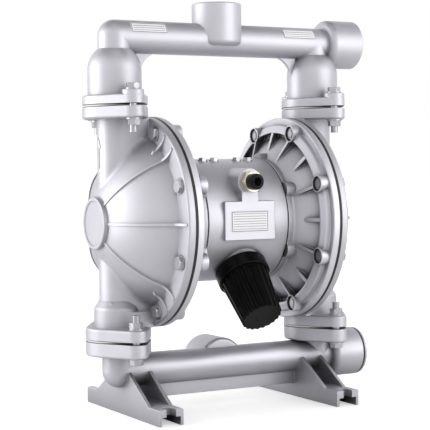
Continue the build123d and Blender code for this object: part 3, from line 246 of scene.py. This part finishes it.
# Fasteners and turned parts. Stainless bolts, nuts, washers and screws, a ground steel shaft and
# rod, and turned aluminium plates and spool. Their faces show fine turning marks and a little tarnish.
def turned_metal(name, level, roughness):
    finish = Finish(name)
    marks = finish.noise(420.0, 2.0, 0.5, (1.0, 1.0, 6.0))
    tarnish = finish.noise(90.0, 3.0)
    eased = finish.softened(0.0006)
    edge_wear_and_highlight = finish.edges(eased, 5.0)
    body = finish.mix(tarnish, grey(level * 0.8, 0.04), grey(level * 1.1, 0.06))
    # Edges painted lighter: partly a painted highlight along them, partly wear.
    body = finish.mix(edge_wear_and_highlight * 0.5, body, grey(0.85, 0.05))
    scored = finish.bump(0.15, 0.0002, marks, eased)
    finish.give(Base_Color=body, Metallic=1.0, Roughness=roughness + marks * 0.14, Normal=scored)
    return finish.material


stainless = turned_metal("stainless_fasteners", level=0.50, roughness=0.24)
# Painted shade: the nuts in the dishes' recesses are the same stainless as the other fasteners, painted
# darker.
shaded_nuts = turned_metal("painted_shade_nuts", level=0.34, roughness=0.24)
plug_steel = turned_metal("passage_plug_steel", level=0.50, roughness=0.26)
ground_steel = turned_metal("ground_shaft_steel", level=0.66, roughness=0.12)
turned_plates = turned_metal("turned_plate_aluminium", level=0.66, roughness=0.30)
paint(stainless, "cap_bolts_left", "cap_bolts_right", "air_cap_screws")
paint(shaded_nuts, "cap_nuts_left", "cap_nuts_right")
paint(stainless, "joint_bolts", "joint_nuts", "joint_washers", "valve_block_screws", "end_cap_screws")
paint(plug_steel, "passage_plugs")
paint(ground_steel, "diaphragm_shaft", "pilot_rod")
paint(turned_plates, "inner_plate_left", "inner_plate_right", "outer_plate_left", "outer_plate_right")
paint(turned_plates, "valve_spool")


# Threads and washers. The bare ends of the joint bolts and the mouths of both ports carry real
# helical ridges, and each rim bolt has a plain washer under its head. All sit on fixed pieces.
place_digits = 6


def solids_of(name):
    """Lowest and highest corner of each separate solid in a node."""
    mesh = nodes[name].data
    first_at = {}
    group = [first_at.setdefault(tuple(round(part, place_digits) for part in vertex.co), vertex.index)
             for vertex in mesh.vertices]

    def root(i):
        while group[i] != i:
            group[i] = group[group[i]]
            i = group[i]
        return i

    for edge in mesh.edges:
        first, second = root(edge.vertices[0]), root(edge.vertices[1])
        group[max(first, second)] = min(first, second)
    corners = {}
    for vertex in mesh.vertices:
        low, high = corners.setdefault(root(vertex.index), (vertex.co.copy(), vertex.co.copy()))
        for k in range(3):
            low[k] = min(low[k], vertex.co[k])
            high[k] = max(high[k], vertex.co[k])
    return list(corners.values())


def fixed_piece(name, shapes, material):
    """One mesh of several closed shapes, each given as points and faces, fixed to the housing."""
    form = bmesh.new()
    for points, faces in shapes:
        corners = [form.verts.new(point) for point in points]
        for face in faces:
            form.faces.new([corners[i] for i in face])
    bmesh.ops.recalc_face_normals(form, faces=form.faces)
    mesh = bpy.data.meshes.new(name)
    form.to_mesh(mesh)
    form.free()
    mesh.materials.append(material)
    piece = bpy.data.objects.new(name, mesh)
    bpy.context.scene.collection.objects.link(piece)
    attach(piece, "housing")
    return piece


def swept_ring(place, section_at, steps, closed):
    """A section carried round the Z axis: section_at gives its radius and height at each step."""
    points = []
    for i in range(steps if closed else steps + 1):
        angle = 2.0 * math.pi * i / ring_steps
        for radius, height in section_at(i):
            points.append(place @ Vector((radius * math.cos(angle), radius * math.sin(angle), height)))
    count = len(section_at(0))
    faces = []
    for i in range(steps):
        here = i * count
        after = ((i + 1) % steps if closed else i + 1) * count
        for k in range(count):
            beside = (k + 1) % count
            faces.append((here + k, here + beside, after + beside, after + k))
    if not closed:
        faces.append(tuple(range(count)))
        faces.append(tuple(steps * count + k for k in range(count)))
    return points, faces


def thread(place, length, root, crest, pitch):
    """A helical ridge of the given length, from its root radius to its crest radius."""
    half = ridge_half_share * pitch
    steps = int((length - 2.0 * half) / pitch * ring_steps)

    def section_at(i):
        middle = half + pitch * i / ring_steps
        return (root, middle - half), (crest, middle), (root, middle + half)

    return swept_ring(place, section_at, steps, False)


ring_steps = 40
ridge_half_share = 0.42
bolt_radius = 0.005
bolt_pitch = 0.0015
thread_sink = 0.0003
thread_stand = 0.00025
bolt_threads = []
for bolt_low, bolt_high in solids_of("joint_bolts"):
    for nut_low, nut_high in solids_of("joint_nuts"):
        middle = (bolt_low + bolt_high) / 2
        apart = middle - (nut_low + nut_high) / 2
        level_with = bolt_low.z < nut_high.z and nut_low.z < bolt_high.z
        if math.hypot(apart.x, apart.y) < bolt_radius and level_with:
            below = nut_low.z - bolt_low.z
            above = bolt_high.z - nut_high.z
            start = bolt_low.z if below < above else nut_high.z
            place = Matrix.Translation((middle.x, middle.y, start))
            bolt_threads.append(thread(place, min(below, above), bolt_radius - thread_sink,
                                       bolt_radius + thread_stand, bolt_pitch))
fixed_piece("joint_bolt_threads", bolt_threads, stainless)

port_radius = 0.0224
port_pitch = 0.0023
port_thread_length = 0.0245
port_thread_inset = 0.0005
port_root = port_radius + 0.0002
port_crest = port_radius - 0.0008
mouth_reach = 0.001
outlet_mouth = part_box("outlet_manifold")[1].z
inlet_axis = sum(corner.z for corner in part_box("inlet_end_plug")) / 2
inlet_mouth = max(vertex.co.y for vertex in nodes["inlet_manifold"].data.vertices
                  if abs(vertex.co.x) < port_radius + mouth_reach
                  and vertex.co.z > inlet_axis - port_radius)
upright = Matrix.Translation((0.0, 0.0, outlet_mouth - port_thread_length - port_thread_inset))
level_back = Matrix.Translation((0.0, inlet_mouth - port_thread_inset, inlet_axis))
level_back = level_back @ Matrix.Rotation(math.radians(90.0), 4, "X")
port_threads = [thread(place, port_thread_length, port_root, port_crest, port_pitch)
                for place in (upright, level_back)]
fixed_piece("port_threads", port_threads, upper_casting)

washer_hole = 0.0054
washer_edge = 0.0102
washer_thickness = 0.0016
washer_bevel = 0.0002
head_height = 0.0064
washer_section = ((washer_hole, 0.0), (washer_edge - washer_bevel, 0.0), (washer_edge, washer_bevel),
                  (washer_edge, washer_thickness - washer_bevel),
                  (washer_edge - washer_bevel, washer_thickness), (washer_hole, washer_thickness))
rim_washers = []
for side, way in (("left", -1), ("right", 1)):
    for bolt_low, bolt_high in solids_of(f"cap_bolts_{side}"):
        middle = (bolt_low + bolt_high) / 2
        seat = way * (max(abs(bolt_low.x), abs(bolt_high.x)) - head_height)
        facing_out = Matrix.Rotation(math.radians(90.0 * way), 4, "Y")
        place = Matrix.Translation((seat, middle.y, middle.z)) @ facing_out
        rim_washers.append(swept_ring(place, lambda i: washer_section, ring_steps, True))
fixed_piece("rim_washers", rim_washers, stainless)


# Flow arrows. Raised in the casting on the outer side of each upper column, pointing up to the
# discharge header. They have the finish of the caps.
arrow_low = 0.335
arrow_head = 0.362
arrow_high = 0.376
arrow_shaft_half = 0.0017
arrow_head_half = 0.0056
arrow_stand = 0.0018
arrow_sink = 0.0004
arrow_shoulder = 0.0003
arrow_tip_half = 0.0005
column_radius = 0.024
arrow_rows = ((arrow_low, arrow_shaft_half), (arrow_head, arrow_shaft_half),
              (arrow_head + arrow_shoulder, arrow_head_half), (arrow_high, arrow_tip_half))
arrow_columns = 8


def flow_arrow(way):
    """Arrow bent round the column, as a grid of points outside and one inside."""
    points = []
    for radius in (column_radius + arrow_stand, column_radius - arrow_sink):
        for height, half in arrow_rows:
            for j in range(arrow_columns + 1):
                turned = half * (2.0 * j / arrow_columns - 1.0) / column_radius
                outward = way * (column_axis + radius * math.cos(turned))
                points.append((outward, radius * math.sin(turned), height))
    wide = arrow_columns + 1
    layer = wide * len(arrow_rows)
    faces = []
    for i in range(len(arrow_rows) - 1):
        for j in range(arrow_columns):
            corner = i * wide + j
            quad = (corner, corner + 1, corner + 1 + wide, corner + wide)
            faces.append(quad)
            faces.append(tuple(layer + k for k in quad))
    outline = list(range(wide))
    outline += [i * wide + wide - 1 for i in range(1, len(arrow_rows))]
    outline += [layer - 1 - j for j in range(1, wide)]
    outline += [i * wide for i in range(len(arrow_rows) - 2, 0, -1)]
    for k in range(len(outline)):
        here, after = outline[k], outline[(k + 1) % len(outline)]
        faces.append((here, after, layer + after, layer + here))
    return points, faces


column_axis = sum(corner.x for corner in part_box("valve_seat_outlet_right")) / 2
fixed_piece("flow_arrows", [flow_arrow(-1), flow_arrow(1)], dome_casting)


# Rubber pieces. Moulded black gaskets, seals and valve balls. Only the gaskets' edges show, as thin
# black lines with a faint sheen. They are clamped in the joints, and the balls lie on their seats.
def moulded_rubber(name, level, roughness):
    finish = Finish(name)
    dust = finish.noise(160.0, 4.0, 0.6)
    grain = finish.noise(1800.0, 2.0)
    body = finish.mix(dust * 0.8, grey(level * 0.7, 0.03), grey(level * 1.5, 0.1))
    rough = finish.add("ShaderNodeBump", {}, {"Strength": 0.2, "Distance": 0.0002, "Height": grain})
    finish.give(Base_Color=body, Roughness=roughness + dust * 0.15, Normal=rough)
    return finish.material


rubber = moulded_rubber("moulded_black_rubber", level=0.012, roughness=0.42)
paint(rubber, "body_gaskets", "joint_gaskets", "shaft_seals", "valve_gasket", "inlet_plug_gasket")
for level in ("inlet", "outlet"):
    for side in ("left", "right"):
        paint(rubber, f"check_ball_{level}_{side}")


# Diaphragms. One moulded rubber disc a side, clamped at its rim between cap and dish and at its
# middle between the plates. The disc is cut into sectors about the shaft's axis, and the sectors are
# then welded, so the piece is one closed moulding again.
sector_count = 16
half_sector = math.pi / sector_count
weld_distance = 0.000002
crease = math.radians(30.0)


def sector_of(name, turn, centre):
    """The part of a CAD node within half a sector of one direction about the shaft's axis."""
    form = bmesh.new()
    form.from_mesh(nodes[name].data)
    for way in (-1.0, 1.0):
        limit = turn + way * half_sector
        outward = way * Vector((0.0, -math.sin(limit), math.cos(limit)))
        bmesh.ops.bisect_plane(form, geom=form.verts[:] + form.edges[:] + form.faces[:], plane_co=centre,
                               plane_no=outward, clear_outer=True)
    mesh = bpy.data.meshes.new(f"{name}_sector")
    form.to_mesh(mesh)
    form.free()
    sector = bpy.data.objects.new(f"{name}_moulding", mesh)
    bpy.context.scene.collection.objects.link(sector)
    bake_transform(sector)
    return sector


def bending_diaphragm(name):
    """The CAD disc remade as one piece welded from its sectors, standing in place of the CAD node."""
    low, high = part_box(name)
    sectors = [sector_of(name, 2.0 * half_sector * i, (low + high) / 2) for i in range(sector_count)]
    whole = bmesh.new()
    for sector in sectors:
        whole.from_mesh(sector.data)
    bmesh.ops.remove_doubles(whole, verts=whole.verts, dist=weld_distance)
    bmesh.ops.recalc_face_normals(whole, faces=whole.faces)
    for face in whole.faces:
        face.smooth = True
    for edge in whole.edges:
        edge.smooth = edge.calc_face_angle(0.0) < crease
    piece = sectors[0]
    whole.to_mesh(piece.data)
    whole.free()
    for sector in sectors[1:]:
        bpy.data.objects.remove(sector)
    piece.data.materials.clear()
    piece.data.materials.append(rubber)
    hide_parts(name)


for side in ("left", "right"):
    bending_diaphragm(f"diaphragm_{side}")


# Valve seats and the silencer's inner tube. Turned white PTFE and porous polyethylene. The seats'
# rims show as a pale line in the gap of each pipe joint.
def pale_plastic(name, level, roughness):
    finish = Finish(name)
    cloud = finish.noise(45.0, 3.0)
    grain = finish.noise(1500.0, 2.0)
    body = finish.mix(cloud, grey(level * 0.92, -0.02), grey(level, -0.03))
    matt = finish.add("ShaderNodeBump", {}, {"Strength": 0.12, "Distance": 0.0002, "Height": grain})
    finish.give(Base_Color=body, Roughness=roughness + cloud * 0.1, Normal=matt)
    return finish.material


ptfe = pale_plastic("turned_white_ptfe", level=0.80, roughness=0.38)
paint(ptfe, "silencer_element")
for level in ("inlet", "outlet"):
    for side in ("left", "right"):
        paint(ptfe, f"valve_seat_{level}_{side}")


# Bushings. Sintered bronze rings round the shaft and the pilot rod. They are pressed into the
# centre body, so only a cut through it would show them.
def sintered_bronze(name):
    finish = Finish(name)
    pores = finish.noise(900.0, 3.0, 0.6)
    body = finish.mix(pores, (0.30, 0.17, 0.07, 1.0), (0.55, 0.36, 0.18, 1.0))
    pitted = finish.add("ShaderNodeBump", {}, {"Strength": 0.25, "Distance": 0.0002, "Height": pores})
    finish.give(Base_Color=body, Metallic=1.0, Roughness=0.35 + pores * 0.2, Normal=pitted)
    return finish.material


paint(sintered_bronze("sintered_bronze"), "shaft_bushings", "pilot_bushings")


# Silencer. A black moulded collar and fluted cup, glass-filled nylon with a satin skin, screwed
# into the slanted exhaust of the centre body.
nylon_specular = 0.14


def moulded_nylon(name, level, roughness):
    finish = Finish(name)
    scuffs = finish.noise(110.0, 4.0, 0.65)
    grain = finish.noise(1500.0, 2.0)
    eased = finish.softened(0.0007)
    edge_wear_and_highlight = finish.edges(eased, 4.0)
    body = finish.mix(scuffs * 0.7, grey(level * 0.7, 0.0), grey(level * 1.5, 0.0))
    # Edges painted lighter: partly a painted highlight along them, partly scuffing.
    body = finish.mix(edge_wear_and_highlight * 0.5, body, grey(level * 5.0, 0.0))
    grained = finish.bump(0.12, 0.0002, grain, eased)
    rough = roughness + scuffs * 0.14
    finish.give(Base_Color=body, Roughness=rough, Normal=grained, Specular_IOR_Level=nylon_specular)
    return finish.material


silencer_nylon = moulded_nylon("black_silencer_nylon", level=0.002, roughness=0.18)
paint(silencer_nylon, "silencer_collar", "silencer_canister")


# Air fitting. A nickelled brass hexagon screwed into the boss, with a black moulded sleeve and a
# black release collar that is pressed in to free the air tube.
def nickelled_brass(name):
    finish = Finish(name)
    thin = finish.noise(130.0, 3.0)
    eased = finish.softened(0.0005)
    edge_wear_and_highlight = finish.edges(eased, 6.0)
    body = finish.mix(thin * 0.5, (0.74, 0.69, 0.60, 1.0), (0.60, 0.50, 0.34, 1.0))
    body = finish.mix(edge_wear_and_highlight * 0.8, body, (0.70, 0.52, 0.28, 1.0))
    finish.give(Base_Color=body, Metallic=1.0, Roughness=0.14 + thin * 0.14, Normal=eased)
    return finish.material


paint(nickelled_brass("nickelled_brass"), "fitting_body")
fitting_nylon = moulded_nylon("black_fitting_plastic", level=0.004, roughness=0.18)
paint(fitting_nylon, "fitting_sleeve", "release_collar")


# Name plate and header stickers. A satin foil plate on the front pad and two gloss film stickers on
# the upper header, left blank, with a thin border and ruled lines such as an empty form has.
rule_width = 0.0009
rule_margin = 0.0030
border_start = 0.0005
border_end = 0.0014


def printed_film(name, level, roughness, metal, middles, halves, rule_gap):
    """Film with a thin border and ruled lines, for labels of one size at several places along X."""
    finish = Finish(name)
    ripple = finish.noise(60.0, 3.0)
    place = finish.add("ShaderNodeTexCoord", {}, {}, "Object")
    split = finish.add("ShaderNodeSeparateXYZ", {}, {"Vector": place}).socket.node
    along = Wire(finish, split.outputs["X"])
    height = Wire(finish, split.outputs["Z"]) - middles[0][1]
    across = abs(along - middles[0][0])
    for middle in middles[1:]:
        across = abs(along - middle[0]).at_most(across)
    edge = (halves[0] - across).at_most(halves[1] - abs(height))
    border = (edge > border_start) * (edge < border_end)
    rules = (((height + halves[1]) % rule_gap) < rule_width) * (edge > rule_margin)
    body = finish.mix(ripple, grey(level * 0.94, 0.03), grey(level, 0.02))
    body = finish.mix(rules * 0.7, body, grey(0.16, 0.1))
    body = finish.mix(border * 0.85, body, grey(0.06, 0.6))
    wavy = finish.add("ShaderNodeBump", {}, {"Strength": 0.05, "Distance": 0.0005, "Height": ripple})
    finish.give(Base_Color=body, Metallic=metal, Roughness=roughness + ripple * 0.08, Normal=wavy)
    return finish.material


plate_low, plate_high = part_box("name_plate")
plate_middle = (plate_low + plate_high) / 2
plate_half = (plate_high - plate_low) / 2
label_foil = printed_film("satin_label_foil", level=0.80, roughness=0.40, metal=0.2,
                          middles=[(plate_middle.x, plate_middle.z)],
                          halves=(plate_half.x, plate_half.z), rule_gap=0.0034)
paint(label_foil, "name_plate")
stickers = solids_of("tube_labels")
sticker_middles = [((low.x + high.x) / 2, (low.z + high.z) / 2) for low, high in stickers]
sticker_half = (stickers[0][1] - stickers[0][0]) / 2
sticker_film = printed_film("gloss_sticker_film", level=0.93, roughness=0.30, metal=0.0,
                            middles=sticker_middles, halves=(sticker_half.x, sticker_half.z),
                            rule_gap=0.0030)
paint(sticker_film, "tube_labels")


# Studio. A white room with a pale floor, a large soft lamp on each side and a weaker one above, and
# the photographer's camera at the front left, at the height of the upper half of the pump.
stage_middle = (cad_low + cad_high) / 2
camera_place = Vector((-0.9196, -1.6684, 0.3317))
camera_azimuth = -28.698
camera_dip = 1.9315
camera_roll = -0.7095
camera_lens_mm = 112.9
sensor_mm = 36.0

camera_data = bpy.data.cameras.new("photographers_camera")
camera_data.sensor_width = sensor_mm
camera_data.lens = camera_lens_mm
camera = bpy.data.objects.new("photographers_camera", camera_data)
bpy.context.scene.collection.objects.link(camera)
turn = Matrix.Rotation(math.radians(camera_azimuth), 4, "Z")
tip = Matrix.Rotation(math.radians(90.0 - camera_dip), 4, "X")
roll = Matrix.Rotation(math.radians(camera_roll), 4, "Z")
camera.matrix_world = Matrix.Translation(camera_place) @ turn @ tip @ roll
bpy.context.scene.camera = camera
bpy.context.scene.view_settings.view_transform = "Standard"


def soft_lamp(name, azimuth, elevation, distance, width, height, power):
    """A rectangular lamp that faces the middle of the pump, seen from it at that angle."""
    around = math.radians(azimuth)
    up = math.radians(elevation)
    way = Vector((math.sin(around) * math.cos(up), -math.cos(around) * math.cos(up), math.sin(up)))
    data = bpy.data.lights.new(name, "AREA")
    data.shape = "RECTANGLE"
    data.size = width
    data.size_y = height
    data.energy = power
    lamp = bpy.data.objects.new(name, data)
    lamp.location = stage_middle + way * distance
    lamp.rotation_euler = (-way).to_track_quat("-Z", "Y").to_euler()
    bpy.context.scene.collection.objects.link(lamp)


soft_lamp("left_softbox", azimuth=-114.0, elevation=5.0, distance=1.8, width=1.4, height=1.6, power=17.0)
soft_lamp("right_softbox", azimuth=34.0, elevation=5.0, distance=1.8, width=1.4, height=1.8, power=12.5)
soft_lamp("top_softbox", azimuth=-30.0, elevation=75.0, distance=2.0, width=1.0, height=1.0, power=2.0)


def level_sheet(name, half, height, finish):
    """A square sheet of the studio, which isn't part of the pump."""
    mesh = bpy.data.meshes.new(name)
    corners = [(x * half, y * half, height) for x, y in ((-1, -1), (1, -1), (1, 1), (-1, 1))]
    mesh.from_pydata(corners, [], [(0, 1, 2, 3)])
    mesh.materials.append(finish.material)
    sheet = bpy.data.objects.new(name, mesh)
    bpy.context.scene.collection.objects.link(sheet)
    return sheet


floor_finish = Finish("pale_studio_floor")
seen = floor_finish.add("ShaderNodeLightPath", {}, {}, "Is Camera Ray")
glow = floor_finish.mix(seen, grey(0.0), grey(0.45))
floor_finish.give(Base_Color=grey(0.85), Roughness=0.7, Emission_Color=glow, Emission_Strength=1.0)
level_sheet("studio_floor", half=30.0, height=0.0, finish=floor_finish)
card_finish = Finish("dark_ceiling_card")
card_finish.give(Base_Color=grey(0.12), Roughness=0.9)
ceiling_card = level_sheet("dark_ceiling_card", half=1.7, height=2.7, finish=card_finish)
ceiling_card.visible_camera = False


def studio_world(ambient):
    """White wherever the camera, a reflection or glass looks, and a plain level of light elsewhere."""
    world = bpy.data.worlds.new("white_studio")
    bpy.context.scene.world = world
    world.use_nodes = True
    tree = world.node_tree
    background = tree.nodes["Background"]
    path = tree.nodes.new("ShaderNodeLightPath")
    either = tree.nodes.new("ShaderNodeMath")
    either.operation = "MAXIMUM"
    tree.links.new(path.outputs["Is Camera Ray"], either.inputs[0])
    tree.links.new(path.outputs["Is Glossy Ray"], either.inputs[1])
    shown = tree.nodes.new("ShaderNodeMath")
    shown.operation = "MAXIMUM"
    tree.links.new(either.outputs[0], shown.inputs[0])
    tree.links.new(path.outputs["Is Transmission Ray"], shown.inputs[1])
    strength = tree.nodes.new("ShaderNodeMapRange")
    strength.inputs["To Min"].default_value = ambient
    strength.inputs["To Max"].default_value = 1.0
    tree.links.new(shown.outputs[0], strength.inputs["Value"])
    background.inputs["Color"].default_value = (1.0, 1.0, 1.0, 1.0)
    tree.links.new(strength.outputs["Result"], background.inputs["Strength"])


studio_world(ambient=1.0)
